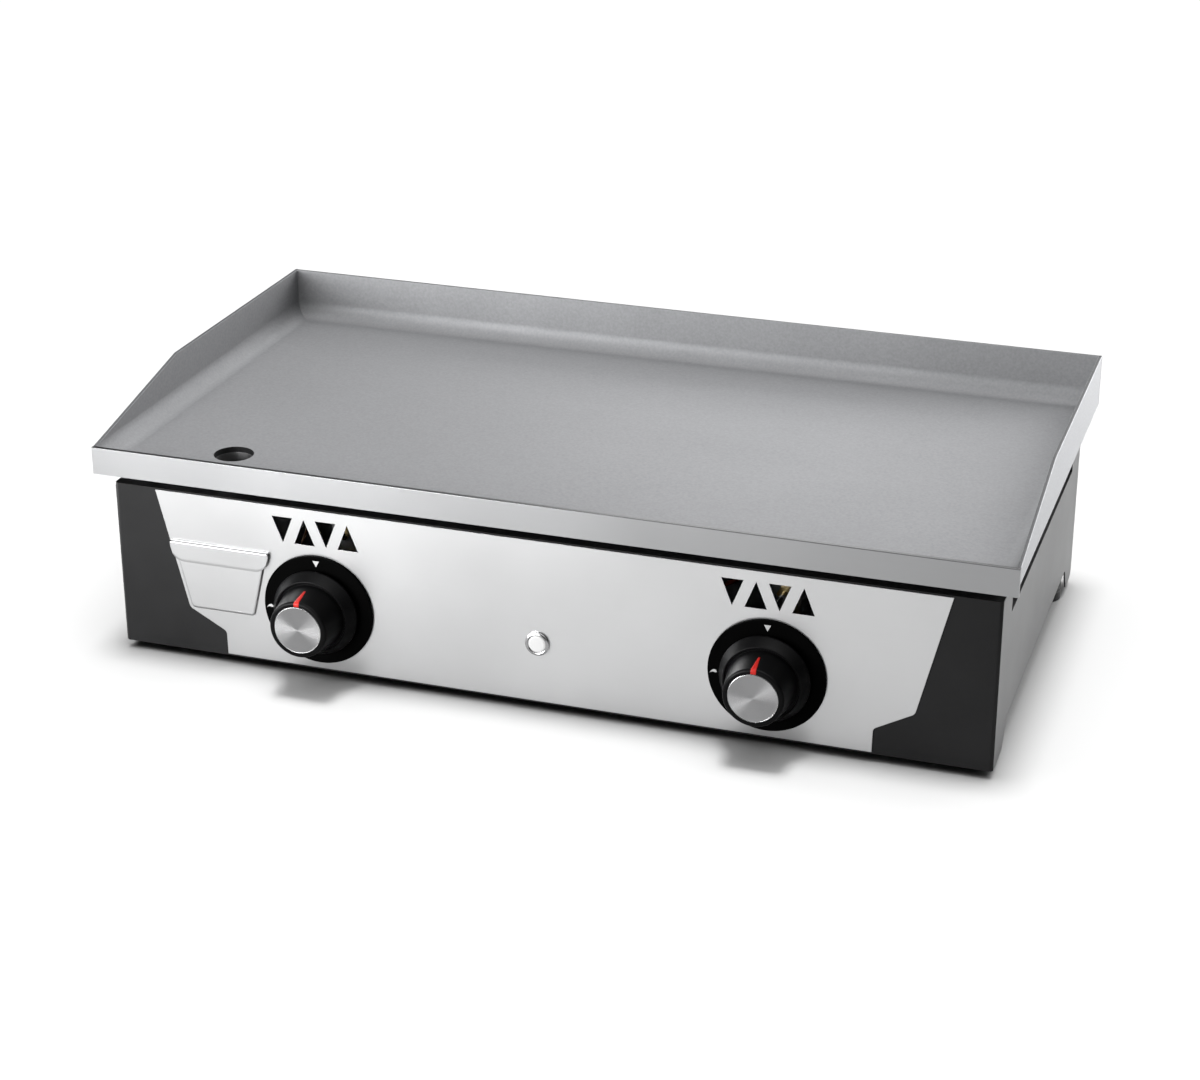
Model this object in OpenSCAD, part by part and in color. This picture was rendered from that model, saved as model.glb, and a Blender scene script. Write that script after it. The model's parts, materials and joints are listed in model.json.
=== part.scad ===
// Countertop griddle with two gas burners, a lift-off cooking top,
// push-and-turn taps, a spark igniter and a pull-out grease drawer.
// The origin is on the counter, under the middle of the whole object.
// X runs to the right, Y to the back and Z up. All sizes are in millimetres.

/* [Cooking top] */
// Width over the outer faces of the side walls
top_w = 800; // [780:10:1000]
// Depth from the face of the apron to the back of the rear wall
top_d = 418; // [410:2:460]
// Height of the cooking surface above the counter
surface_h = 180; // [176:0.5:200]
// Thickness of the cooking plate
plate_t = 5; // [4:0.5:8]
// Height of the walls above the cooking surface
wall_h = 46.2; // [30:0.1:70]
// Reach of the walls below the cooking surface
skirt_h = 1; // [0.5:0.5:4]
// Thickness of the wall and apron sheet
wall_t = 3; // [2:0.5:4]
// Distance from the apron's face to where the side walls reach full height
slope_d = 157.3; // [120:0.1:200]
// Radius of the cove between the plate and the walls
cove_r = 15; // [6:1:16]
// Height of the apron
apron_h = 24.4; // [18:0.2:28]
// Height of the apron's top edge above the cooking surface
apron_rise = 13.5; // [8:0.5:20]
// Radius of the drain hole
drain_r = 17; // [12:0.1:18]

/* [Casing] */
// Distance from the outer face of a side wall in to the casing's side
case_inset = 13; // [11:1:16]
// Distance from the apron's face back to the fascia
panel_setback = 11; // [10:0.5:14]
// Drop from the cooking surface to the top of the casing
case_drop = 21.8; // [20:0.1:26]
// Clearance under the front panel
panel_clear = 7.8; // [5:0.1:12]
// Height of the underside of the casing floor
base_h = 30.5; // [26:0.5:32]
// Thickness of the casing sheet
sheet_t = 1.5; // [1.2:0.1:1.8]
// Radius of a rubber foot
foot_r = 14; // [10:0.5:15]

/* [Controls] */
// Height of the knob axes above the counter
knob_h = 65.9; // [63:0.1:68]
// Reach of a knob in front of the fascia
knob_out = 45.3; // [43:0.1:50]
// Radius of the disc behind a knob
bezel_r = 50; // [44:0.5:50]
// Radius of a knob's skirt
skirt_r = 38.5; // [34:0.5:40]
// Radius of a knob's metal cap
cap_r = 21.5; // [18:0.5:22]
// Height of the igniter button above the counter
igniter_h = 63.6; // [62:0.1:68]

/* [Vents] */
// Width of a triangular vent
vent_w = 18.7; // [12:0.1:19]
// Height of a triangular vent
vent_h = 23.4; // [14:0.1:24]
// Distance between neighbouring vents
vent_pitch = 19.9; // [19.2:0.1:24]

/* [Grease drawer] */
// Width of the drawer's face along its top
face_w = 87.2; // [76:0.2:88]
// Height of the top edge of the pull lip above the counter
lip_top_h = 112.3; // [110:0.1:116]
// Depth of the grease bin from front to back
bin_d = 88; // [60:1:90]

/* [Hidden] */
$fn = 48;

// Places that follow from the driving sizes
inlet_out = 24.3;
front_y = (knob_out - panel_setback - inlet_out - top_d) / 2;
rear_y = front_y + top_d;
half_w = top_w / 2;
inner_half = half_w - wall_t;
rear_inner = rear_y - wall_t;
apron_back = front_y + wall_t;
wall_top = surface_h + wall_h;
plate_under = surface_h - plate_t;
apron_top = surface_h + apron_rise;
slope_y = front_y + slope_d;
bite = 1;

// Casing
case_half = half_w - case_inset;
case_top = surface_h - case_drop;
case_back = rear_y - 5;
fascia_y = front_y + panel_setback;
fascia_t = 0.8;
panel_y = fascia_y + fascia_t;
panel_back = panel_y + sheet_t;
edge_r = 3;
side_front = panel_y + edge_r;
side_top = case_top - sheet_t;
front_post_d = 42;
rear_post_d = 44;
notch_h = 28.5;
notch_z = case_top - notch_h;
inside_half = case_half - 2 * sheet_t - 0.4;
tray_z = base_h + sheet_t;
tray_top = tray_z + sheet_t;
front_flange_d = 20;

// Rows of parts that repeat on the left and on the right
knob_x = top_w * 0.248;
vent_shift = -1.2;
vent_top = case_top - 10.9;
foot_x = case_half - 16.5;
foot_y = [panel_y + 33, case_back - 39];
stand_x = case_half - 18;
stand_y = [side_front + 31, case_back - 24];
stand_r = 9;
pin_r = 4;
pin_hole_r = 5;

// Drain and drawer
drawer_x = -(case_half - 97.8);
drain_x = drawer_x - 4.1;
drain_y = front_y + 54.7;
spout_r = 8;
lip_w = 92;
lip_h = 18.2;
lip_t = 1.2;
lip_out = 3.8;
face_out = 2.2;
face_top = lip_top_h - 3;
face_h = 58.5;
face_taper = 0.235;
bin_front = panel_back + 0.2;
bin_floor = face_top - face_h + 6;
bin_top = face_top - 6;
bin_gap = 3;

// Gas train
tap_y = panel_back + 2;
tap_r = 13;
plug_r = 8;
spindle_r = 4;
run_gap = 0.05;
plug_y = tap_y + 13;
plug_len = 20;
rail_y = front_y + 67;
rail_r = 10.5;
supply_x = knob_x + 102;
supply_r = 8;
burner_z = 115;
burner_r = 20;
neck_r = 11;
shield_y = front_y + 108;
burner_end = case_back - 41;
feed_r = 3;
wall = 1.2;

// Fixings
rear_screw_x = case_half - 8;
rear_screw_z = [tray_top + 32, (tray_top + side_top) / 2 + 8, side_top - 14];
rear_screw_r = 2;
rear_panel_t = 1.2;
foot_screw_r = 3;

// Controls
bezel_t = 3;
bezel_face = fascia_y - bezel_t;
knob_front = fascia_y - knob_out;
knob_rear = bezel_face - 4.4;
skirt_face = fascia_y - 18.6;
grip_r = 29.4;
nose_r = cap_r + 4;
shoulder = 3;
cap_t = 1.8;
hub_r = 8;
hub_front = knob_front + 9;
collar_r = 6;
knob_travel = 3;
button_r = 7.8;
button_travel = 3.5;

// Gas inlet, injectors and flame sensors
inlet_r = 10.48;
inlet_end = rear_y + inlet_out;
injector_y = front_y + 62;
electrode_dx = 24;
probe_dx = 25;
electrode_z = burner_z + 8;

// A cylinder along Y
module rod_y(r, y0, y1, x = 0, z = 0) {
  translate([x, y0, z]) rotate([-90, 0, 0]) cylinder(h = y1 - y0, r = r);
}

// A cylinder along Z
module rod_z(r, z0, z1, x = 0, y = 0) {
  translate([x, y, z0]) cylinder(h = z1 - z0, r = r);
}

// A cylinder along X
module rod_x(r, x0, x1, y = 0, z = 0) {
  translate([x0, y, z]) rotate([0, 90, 0]) cylinder(h = x1 - x0, r = r);
}

// A box between two corners
module block(low, high) {
  translate(low) cube(high - low);
}

// An outline in X and Z given thickness along Y
module sheet_xz(y0, t) {
  translate([0, y0 + t, 0]) rotate([90, 0, 0]) linear_extrude(height = t) children();
}

// An outline in Y and Z given thickness along X
module sheet_yz(x0, t) {
  translate([x0, 0, 0]) rotate([90, 0, 90]) linear_extrude(height = t) children();
}

// An outline in radius and Y turned about an axis along Y
module turned(x = 0, z = 0) {
  translate([x, 0, z]) rotate([-90, 0, 0]) rotate_extrude() children();
}

function unit(v) = v / norm(v);
function wrap(a) = (a + 540) % 360 - 180;

// Points that round the corner at b with radius r
function corner(a, b, c, r, n) =
  let (
    u = unit(a - b),
    v = unit(c - b),
    half = acos(u * v) / 2,
    mid = b + unit(u + v) * r / sin(half),
    p = b + u * r / tan(half) - mid,
    q = b + v * r / tan(half) - mid,
    start = atan2(p.y, p.x),
    turn = wrap(atan2(q.y, q.x) - start)
  )
  [for (i = [0:n]) mid + r * [cos(start + turn * i / n), sin(start + turn * i / n)]];

// An outline whose points each carry [x, y, radius]
function rounded(points, n = 6) =
  let (count = len(points))
  [
    for (i = [0:count - 1])
      let (
        a = points[(i + count - 1) % count],
        b = points[i],
        c = points[(i + 1) % count]
      )
      each b.z == 0
        ? [[b.x, b.y]]
        : corner([a.x, a.y], [b.x, b.y], [c.x, c.y], b.z, n)
  ];

// Faces of a tube made of rings of points, with flat ends
function tube_faces(count, sides) = concat(
  [
    for (i = [0:count - 1])
      for (k = [0:sides - 1])
        let (a = i * sides + k, b = i * sides + (k + 1) % sides)
        each [[a, b + sides, b], [a, a + sides, b + sides]]
  ],
  [
    [for (k = [0:sides - 1]) k],
    [for (k = [sides - 1:-1:0]) count * sides + k]
  ]
);

// Flexible tube along a list of points
module tube(points, r, sides = 12) {
  count = len(points) - 1;
  lean = [0, 1, -1];
  runs = [for (i = [0:count - 1]) unit(points[i + 1] - points[i])];
  rings = [
    for (i = [0:count])
      let (
        along = unit(runs[max(i - 1, 0)] + runs[min(i, count - 1)]),
        u = unit(cross(along, lean)),
        v = cross(along, u)
      )
      for (k = [0:sides - 1])
        points[i] + r * (cos(360 * k / sides) * u + sin(360 * k / sides) * v)
  ];
  polyhedron(points = rings, faces = tube_faces(count, sides));
}

// Coil spring along Y
module coil(r, wire, y0, y1, turns, steps = 14, sides = 6) {
  count = turns * steps;
  pitch = (y1 - y0 - 2 * wire) / turns;
  rings = [
    for (i = [0:count])
      let (a = 360 * i / steps)
      for (k = [0:sides - 1])
        let (b = 360 * k / sides, out = r + wire * cos(b))
        [out * cos(a), y0 + wire + pitch * i / steps + wire * sin(b), out * sin(a)]
  ];
  polyhedron(points = rings, faces = tube_faces(count, sides));
}

// ---------------------------------------------------------------- cooking top

// Side view of the walls, sloping down towards the apron
module wall_outline() {
  polygon([
    [apron_back, surface_h - skirt_h],
    [rear_y, surface_h - skirt_h],
    [rear_y, wall_top],
    [slope_y, wall_top],
    [apron_back, apron_top]
  ]);
}

// Cross-section of the cove, with its corner at the origin
module cove_section() {
  difference() {
    translate([0, -bite]) square([cove_r, cove_r + bite]);
    translate([cove_r, cove_r]) circle(r = cove_r);
  }
}

module griddle_plate() {
  color([0.55, 0.56, 0.57])
    difference() {
      union() {
        block([-inner_half, apron_back, plate_under], [inner_half, rear_inner, surface_h]);
        intersection() {
          sheet_yz(-inner_half, 2 * inner_half) wall_outline();
          union() {
            for (side = [-1, 1])
              sheet_xz(apron_back, rear_inner - apron_back)
                translate([side * inner_half, surface_h])
                  scale([-side, 1])
                    cove_section();
            sheet_yz(-inner_half, 2 * inner_half)
              translate([rear_inner, surface_h]) mirror([1, 0]) cove_section();
          }
        }
      }
      rod_z(drain_r, plate_under - bite, surface_h + bite, drain_x, drain_y);
    }
}

module splash_guard() {
  color([0.75, 0.76, 0.77])
    difference() {
      sheet_yz(-half_w, top_w) wall_outline();
      block(
        [-inner_half, apron_back - bite, surface_h - skirt_h - bite],
        [inner_half, rear_inner, wall_top + bite]
      );
    }
}

module front_apron() {
  bend = 0.8;
  low = apron_top - apron_h;
  return_d = 6;
  return_t = 1.5;
  color([0.8, 0.8, 0.81])
    sheet_yz(-half_w, top_w)
      union() {
        translate([front_y, low]) square([wall_t, apron_h - bend]);
        translate([front_y + bend, low]) square([wall_t - bend, apron_h]);
        translate([front_y + bend, apron_top - bend])
          intersection() {
            circle(r = bend);
            translate([-bend, 0]) square(bend);
          }
        translate([front_y, low]) square([return_d, return_t]);
      }
}

module drain_cup() {
  cup_wall = 2;
  cup_low = case_top + 4;
  spout_low = bin_top + 4;
  color([0.78, 0.78, 0.79])
    difference() {
      union() {
        rod_z(drain_r + cup_wall, cup_low, plate_under, drain_x, drain_y);
        rod_z(spout_r, spout_low, cup_low + bite, drain_x, drain_y);
      }
      rod_z(drain_r, cup_low + cup_wall, plate_under + bite, drain_x, drain_y);
      rod_z(spout_r - wall, spout_low - bite, cup_low + 2 * cup_wall, drain_x, drain_y);
    }
}

module plate_standoffs() {
  pin_len = 12;
  color([0.1, 0.1, 0.1])
    for (x = [-stand_x, stand_x])
      for (y = stand_y) {
        rod_z(stand_r, side_top, plate_under, x, y);
        rod_z(pin_r, side_top - pin_len, side_top + bite, x, y);
      }
}

module plate_stiffeners() {
  bar_half = stand_x - 40;
  bar_t = 4;
  bar_h = 18;
  color([0.5, 0.5, 0.52])
    for (share = [0.33, 0.7]) {
      y = front_y + share * top_d;
      block([-bar_half, y, plate_under - bar_h], [bar_half, y + bar_t, plate_under]);
    }
}

// --------------------------------------------------------------------- casing

// One group of four triangles, pointing down and up in turn
module vent_group(grow = 0) {
  for (i = [0:3]) {
    down = i % 2 == 0;
    half = vent_w / 2 + grow;
    base_z = down ? grow : -vent_h - grow;
    tip_z = down ? -vent_h - 2 * grow : 2 * grow;
    translate([(i - 1.5) * vent_pitch, 0])
      polygon([[-half, base_z], [half, base_z], [0, tip_z]]);
  }
}

// Front opening of the drawer
module drawer_hole(grow = 0) {
  half_top = face_w / 2 - 2 + grow;
  half_low = half_top - face_taper * (face_h - 8);
  translate([drawer_x, 0])
    polygon([
      [-half_low, face_top - face_h + 4 - grow],
      [half_low, face_top - face_h + 4 - grow],
      [half_top, face_top - 4 + grow],
      [-half_top, face_top - 4 + grow]
    ]);
}

// Everything that passes through the front panel and the fascia
module front_holes(grow = 0) {
  for (side = [-1, 1]) {
    translate([side * knob_x, knob_h]) circle(r = 10 + grow);
    translate([side * knob_x + vent_shift, vent_top]) vent_group(grow);
  }
  translate([0, igniter_h]) circle(r = 9.2);
  drawer_hole(grow);
}

// Plan of the front panel's outside, with its two front corners rounded
module panel_plan(depth) {
  wide = case_half - edge_r;
  translate([-case_half, side_front]) square([2 * case_half, depth - edge_r]);
  translate([-wide, panel_y]) square([2 * wide, depth]);
  for (side = [-1, 1]) translate([side * wide, side_front]) circle(r = edge_r);
}

module front_panel() {
  face_high = case_top - panel_clear;
  return_d = 18;
  wide = case_half - edge_r;
  color([0.09, 0.09, 0.1])
    difference() {
      union() {
        sheet_xz(panel_y, sheet_t)
          translate([-wide, panel_clear]) square([2 * wide, face_high]);
        translate([0, 0, panel_clear])
          linear_extrude(height = face_high)
            for (side = [-1, 1])
              translate([side * wide, side_front])
                intersection() {
                  difference() {
                    circle(r = edge_r);
                    circle(r = edge_r - sheet_t);
                  }
                  translate([side > 0 ? 0 : -edge_r, -edge_r]) square(edge_r);
                }
        for (side = [-1, 1]) {
          outer = side * case_half;
          inner = side * (case_half - 2 * sheet_t);
          fold = side * (case_half - sheet_t);
          block(
            [min(outer, inner), side_front - sheet_t, panel_clear],
            [max(outer, inner), side_front, side_top - sheet_t]
          );
          block(
            [min(fold, inner), side_front, panel_clear],
            [max(fold, inner), side_front + return_d, side_top - sheet_t]
          );
        }
        translate([0, 0, case_top - sheet_t])
          linear_extrude(height = sheet_t) panel_plan(front_flange_d);
        block(
          [-wide, panel_y, panel_clear],
          [wide, panel_y + return_d - 4, panel_clear + sheet_t]
        );
      }
      sheet_xz(panel_y - bite, sheet_t + 2 * bite) front_holes(0.6);
    }
}

module front_fascia() {
  high = case_top - 1.5;
  low = panel_clear + 1.7;
  right = [
    [case_half - 99.5, low, 0],
    [case_half - 99.2, low + 21.5, 5],
    [case_half - 65.4, low + 40, 6],
    [case_half - 39.2, high, 0]
  ];
  left = [for (i = [len(right) - 1:-1:0]) [-right[i].x, right[i].y, right[i].z]];
  color([0.85, 0.85, 0.86])
    sheet_xz(fascia_y, fascia_t)
      difference() {
        polygon(rounded(concat(right, left)));
        front_holes();
      }
}

// Side view of a side panel: two posts, with a flue gap above and a foot arch below
module side_outline() {
  post_y = side_front + front_post_d;
  back_post_y = case_back - rear_post_d;
  polygon(rounded([
    [side_front, panel_clear, 2],
    [post_y - 7, panel_clear, 2],
    [post_y + 12, base_h, 6],
    [back_post_y + 2, base_h, 6],
    [back_post_y + 14, panel_clear, 2],
    [case_back, panel_clear, 8],
    [case_back, side_top, 0],
    [back_post_y, side_top, 0],
    [back_post_y, notch_z, 1.5],
    [post_y, notch_z, 1.5],
    [post_y, side_top, 0],
    [side_front, side_top, 0]
  ]));
}

// A side panel for side -1 or 1, with its folded-in flanges
module side_panel(side) {
  post_y = side_front + front_post_d;
  back_post_y = case_back - rear_post_d;
  top_flange = 30;
  small_flange = 15;
  foot_hole_r = 3.3;
  outer = case_half;
  color([0.66, 0.67, 0.68])
    scale([side, 1, 1])
      difference() {
        union() {
          sheet_yz(outer - sheet_t, sheet_t) side_outline();
          block(
            [outer - top_flange, side_front, side_top - sheet_t],
            [outer, post_y, side_top]
          );
          block(
            [outer - top_flange, back_post_y, side_top - sheet_t],
            [outer, case_back, side_top]
          );
          block(
            [outer - small_flange, post_y - bite, notch_z - sheet_t],
            [outer, back_post_y + bite, notch_z]
          );
          block(
            [outer - small_flange, case_back - sheet_t, tray_top + 20],
            [outer, case_back, side_top]
          );
          block(
            [outer - 1.6 * small_flange, side_front + 20, base_h],
            [outer, case_back - sheet_t, tray_z]
          );
        }
        for (y = stand_y)
          rod_z(pin_hole_r, side_top - 2 * sheet_t, side_top + bite, stand_x, y);
        for (y = foot_y) rod_z(foot_hole_r, base_h - bite, tray_z + bite, foot_x, y);
        for (z = rear_screw_z)
          rod_y(rear_screw_r, case_back - 3 * sheet_t, case_back + bite, rear_screw_x, z);
      }
}

module rear_panel() {
  slot_w = 7;
  slot_h = 26;
  slot_pitch = 22;
  slot_count = 28;
  half = case_half - 1;
  color([0.7, 0.71, 0.72])
    difference() {
      sheet_xz(case_back, rear_panel_t)
        difference() {
          translate([-half, base_h]) square([2 * half, side_top - base_h]);
          for (i = [0:slot_count - 1])
            translate([(i - (slot_count - 1) / 2) * slot_pitch - slot_w / 2, side_top - 44])
              square([slot_w, slot_h]);
          translate([supply_x, knob_h]) circle(r = 11);
        }
      for (side = [-1, 1])
        for (z = rear_screw_z)
          rod_y(rear_screw_r, case_back - bite, case_back + 3, side * rear_screw_x, z);
    }
}

module rear_screws() {
  head_r = 4;
  head_t = 2;
  length = 8;
  outer = case_back + rear_panel_t;
  color([0.5, 0.5, 0.5])
    for (side = [-1, 1])
      for (z = rear_screw_z)
        difference() {
          union() {
            rod_y(head_r, outer, outer + head_t, side * rear_screw_x, z);
            rod_y(rear_screw_r - run_gap, outer - length, outer + bite,
              side * rear_screw_x, z);
          }
          block(
            [side * rear_screw_x - head_r, outer + 1.2, z - 0.5],
            [side * rear_screw_x + head_r, outer + head_t + bite, z + 0.5]
          );
        }
}

module base_tray() {
  lip = 14;
  front = panel_back + 0.3;
  back = case_back - sheet_t - 0.3;
  slot_count = 9;
  slot_w = 8;
  slot_len = 110;
  slot_pitch = 26;
  color([0.6, 0.61, 0.62])
    difference() {
      block([-inside_half, front, tray_z], [inside_half, back, tray_top + lip]);
      block(
        [-inside_half + sheet_t, front + sheet_t, tray_top],
        [inside_half - sheet_t, back - sheet_t, tray_top + lip + bite]
      );
      for (side = [-1, 1])
        for (i = [0:slot_count - 1])
          translate([
            side * knob_x - slot_len / 2,
            shield_y + 25 + i * slot_pitch,
            tray_z - bite
          ])
            cube([slot_len, slot_w, sheet_t + 2 * bite]);
      for (x = [-foot_x, foot_x])
        for (y = foot_y) rod_z(3.3, tray_z - bite, tray_top + bite, x, y);
    }
}

module heat_shield() {
  half = case_half - 16;
  top_z = case_top - 4;
  color([0.68, 0.68, 0.69])
    difference() {
      block([-half, shield_y, tray_top], [half, shield_y + wall, top_z]);
      for (side = [-1, 1]) {
        rod_y(neck_r + 0.4, shield_y - bite, shield_y + 2 * bite, side * knob_x, burner_z);
        rod_y(3.7, shield_y - bite, shield_y + 2 * bite,
          side * (knob_x - electrode_dx), electrode_z);
        rod_y(2.7, shield_y - bite, shield_y + 2 * bite,
          side * (knob_x + probe_dx), electrode_z);
      }
      rod_y(supply_r + 1, shield_y - bite, shield_y + 2 * bite, supply_x, knob_h);
    }
}

// A rubber foot with a countersunk screw recess in its sole
module foot(x, y) {
  recess_r = 7;
  recess_h = 10;
  edge = 2;
  color([0.05, 0.05, 0.05])
    translate([x, y, 0])
      rotate_extrude()
        polygon([
          [recess_r, 0],
          [foot_r - edge, 0],
          [foot_r, edge],
          [foot_r - 1.5, base_h],
          [foot_screw_r + run_gap, base_h],
          [foot_screw_r + run_gap, recess_h],
          [recess_r, recess_h]
        ]);
}

module foot_screws() {
  head_r = 5.5;
  head_z = 6;
  head_t = 4;
  slot_w = 1.6;
  color([0.55, 0.55, 0.56])
    for (x = [-foot_x, foot_x])
      for (y = foot_y)
        difference() {
          union() {
            rod_z(head_r, head_z, head_z + head_t, x, y);
            rod_z(foot_screw_r, head_z + bite, tray_top + 8, x, y);
          }
          block(
            [x - head_r, y - slot_w / 2, head_z - bite],
            [x + head_r, y + slot_w / 2, head_z + 1.2]
          );
        }
}

module foot_nuts() {
  nut_r = 5.8;
  nut_h = 5;
  color([0.6, 0.6, 0.6])
    for (x = [-foot_x, foot_x])
      for (y = foot_y)
        difference() {
          translate([x, y, tray_top]) cylinder(h = nut_h, r = nut_r, $fn = 6);
          rod_z(foot_screw_r + run_gap, tray_top - bite, tray_top + nut_h + bite, x, y);
        }
}

// ------------------------------------------------------------------- controls

// The disc behind a knob
module bezel(side) {
  edge = 0.8;
  hole_r = 10;
  color([0.02, 0.02, 0.02])
    turned(side * knob_x, knob_h)
      polygon([
        [hole_r, bezel_face],
        [bezel_r - edge, bezel_face],
        [bezel_r, bezel_face + edge],
        [bezel_r, fascia_y],
        [hole_r, fascia_y]
      ]);
}

// Radius and Y of the grip from the skirt to the cap seat
function grip_line(grow = 0) = [
  [grip_r + grow, skirt_face + 0.4],
  [nose_r + grow, knob_front + shoulder],
  for (i = [1:6])
    let (a = 90 * i / 6)
    [
      nose_r - shoulder + (shoulder + grow) * cos(a),
      knob_front + shoulder - (shoulder + grow) * sin(a)
    ]
];

// The moulded knob: skirt, groove, tapering grip and a seat for the cap
module knob(side) {
  shell = 2.2;
  color([0.04, 0.04, 0.045])
    turned(side * knob_x, knob_h)
      polygon(concat(
        [
          [skirt_r - shell, knob_rear],
          [skirt_r - 0.6, knob_rear],
          [skirt_r, knob_rear - 0.6],
          [skirt_r, knob_rear - 2],
          [skirt_r - 5.2, skirt_face + 0.5],
          [skirt_r - 5.9, skirt_face],
          [grip_r + 2, skirt_face],
          [grip_r + 1.8, skirt_face + 1.6],
          [grip_r + 0.2, skirt_face + 1.6]
        ],
        grip_line(),
        [
          [cap_r + 0.1, knob_front],
          [cap_r + 0.1, knob_front + cap_t],
          [0, knob_front + cap_t],
          [0, hub_front],
          [spindle_r, hub_front],
          [spindle_r, knob_rear],
          [hub_r, knob_rear],
          [hub_r, knob_front + cap_t + shell + 2],
          [nose_r - shell - 1, knob_front + cap_t + shell + 2],
          [grip_r - shell, skirt_face + shell + 1],
          [skirt_r - 6 - shell, skirt_face + shell + 1]
        ]
      ));
}

// The spun metal cap on a knob
module knob_cap(side) {
  edge = 0.5;
  dome = 0.25;
  color([0.85, 0.85, 0.86])
    turned(side * knob_x, knob_h)
      polygon([
        [0, knob_front],
        [cap_r - edge, knob_front + dome],
        [cap_r, knob_front + edge + dome],
        [cap_r, knob_front + cap_t],
        [0, knob_front + cap_t]
      ]);
}

// The tapered red line along the top of the grip
module knob_pointer(side) {
  proud = 0.3;
  clear = 0.02;
  tip_y = knob_front + 18.6;
  tip_half = 0.6;
  base_half = 2.1;
  end_gap = 0.2;
  high = 40;
  color([0.8, 0.05, 0.03])
    intersection() {
      turned(side * knob_x, knob_h)
        polygon(concat(
          [for (p = grip_line(proud)) p],
          [for (i = [len(grip_line()) - 1:-1:0]) grip_line(clear)[i]]
        ));
      translate([side * knob_x, 0, knob_h])
        linear_extrude(height = high)
          polygon([
            [-base_half, knob_front + end_gap],
            [base_half, knob_front + end_gap],
            [tip_half, tip_y],
            [-tip_half, tip_y]
          ]);
    }
}

module tap_spindle(side) {
  tail = plug_y + 12;
  collar_y = tap_y + 3;
  color([0.75, 0.68, 0.4]) {
    rod_y(spindle_r, hub_front, tail, side * knob_x, knob_h);
    rod_y(collar_r, collar_y, collar_y + 1.2, side * knob_x, knob_h);
  }
}

// The return spring, drawn at its pressed length
module tap_spring(side) {
  color([0.7, 0.7, 0.72])
    translate([side * knob_x, 0, knob_h])
      coil(5.1, 0.45, tap_y + 4.3 + knob_travel, plug_y - 0.1, 4);
}

module tap_plug(side) {
  color([0.8, 0.65, 0.3])
    difference() {
      rod_y(plug_r, plug_y, plug_y + plug_len, side * knob_x, knob_h);
      rod_y(spindle_r + run_gap, plug_y - bite, plug_y + 17, side * knob_x, knob_h);
    }
}

// A brass tap: bonnet, body, saddle on the gas rail, outlet and flame-safety head
module tap_body(side) {
  x = side * knob_x;
  flange_half = 15;
  flange_t = 3;
  saddle_half = 12;
  outlet_y = tap_y + 24;
  head_out = 38;
  color([0.78, 0.63, 0.3])
    difference() {
      union() {
        block(
          [x - flange_half, panel_back, knob_h - flange_half],
          [x + flange_half, panel_back + flange_t, knob_h + flange_half]
        );
        rod_y(tap_r, panel_back + bite, rail_y - rail_r + bite, x, knob_h);
        block(
          [x - saddle_half, rail_y - rail_r - 5, knob_h - saddle_half],
          [x + saddle_half, rail_y - 6, knob_h + saddle_half]
        );
        rod_z(7, knob_h, knob_h + 24, x, outlet_y);
        rod_x(8, min(x, x + side * head_out), max(x, x + side * head_out),
          outlet_y, knob_h);
      }
      rod_y(spindle_r + 0.5, panel_back - bite, plug_y, x, knob_h);
      rod_y(collar_r + 0.6, tap_y + 2, plug_y + bite, x, knob_h);
      rod_y(plug_r + run_gap, plug_y - 0.01, plug_y + plug_len + 0.3, x, knob_h);
      rod_x(rail_r, x - 20, x + 20, rail_y, knob_h);
      rod_z(feed_r, knob_h + 14, knob_h + 25, x, outlet_y);
    }
}

// -------------------------------------------------------------------- igniter

module igniter_bezel() {
  base_r = 10.7;
  rim_r = 9.3;
  neck_r = 9;
  proud = 2.8;
  color([0.9, 0.9, 0.91])
    turned(0, igniter_h)
      polygon([
        [button_r + 0.08, fascia_y - proud + 0.4],
        [rim_r - 0.6, fascia_y - proud],
        [rim_r + 0.2, fascia_y - proud + 0.1],
        [base_r, fascia_y - proud + 1.2],
        [base_r, fascia_y],
        [neck_r, fascia_y],
        [neck_r, fascia_y + 16],
        [button_r + 0.08, fascia_y + 16]
      ]);
}

module igniter_nut() {
  color([0.6, 0.6, 0.62])
    difference() {
      translate([0, panel_back, igniter_h])
        rotate([-90, 0, 0]) cylinder(h = 4, r = 13, $fn = 6);
      rod_y(9, panel_back - bite, panel_back + 5, 0, igniter_h);
    }
}

module igniter_body() {
  body_y = fascia_y + 16;
  body_end = rail_y - rail_r - 3;
  color([0.9, 0.9, 0.85]) {
    difference() {
      rod_y(10, body_y, body_end, 0, igniter_h);
      rod_y(5.6, body_y - bite, body_y + 5, 0, igniter_h);
      rod_y(2.6, body_y, body_end - 3, 0, igniter_h);
    }
    for (side = [-1, 1])
      rod_z(1.8, igniter_h + 8, igniter_h + 15, side * 4, body_end - 8);
  }
}

module igniter_button() {
  front = fascia_y - 2.45;
  back = fascia_y + 4;
  color([0.95, 0.95, 0.95])
    turned(0, igniter_h)
      polygon([
        [0, front],
        [button_r - 1.2, front + 0.1],
        [button_r - 0.3, front + 0.35],
        [button_r, front + 0.9],
        [button_r, back],
        [2.5, back],
        [2.5, back + 26],
        [0, back + 26]
      ]);
}

// The return spring, drawn at its pressed length
module igniter_spring() {
  color([0.7, 0.7, 0.72])
    translate([0, 0, igniter_h])
      coil(4.2, 0.45, fascia_y + 4.1 + button_travel, fascia_y + 20.9, 7);
}

// ------------------------------------------------------------------ gas train

module gas_manifold() {
  left = -knob_x - 27;
  right = supply_x - 30;
  cap_t = 4;
  color([0.6, 0.6, 0.62])
    difference() {
      rod_x(rail_r, left, right, rail_y, knob_h);
      rod_x(rail_r - 2, left + cap_t, right + bite, rail_y, knob_h);
    }
}

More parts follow.
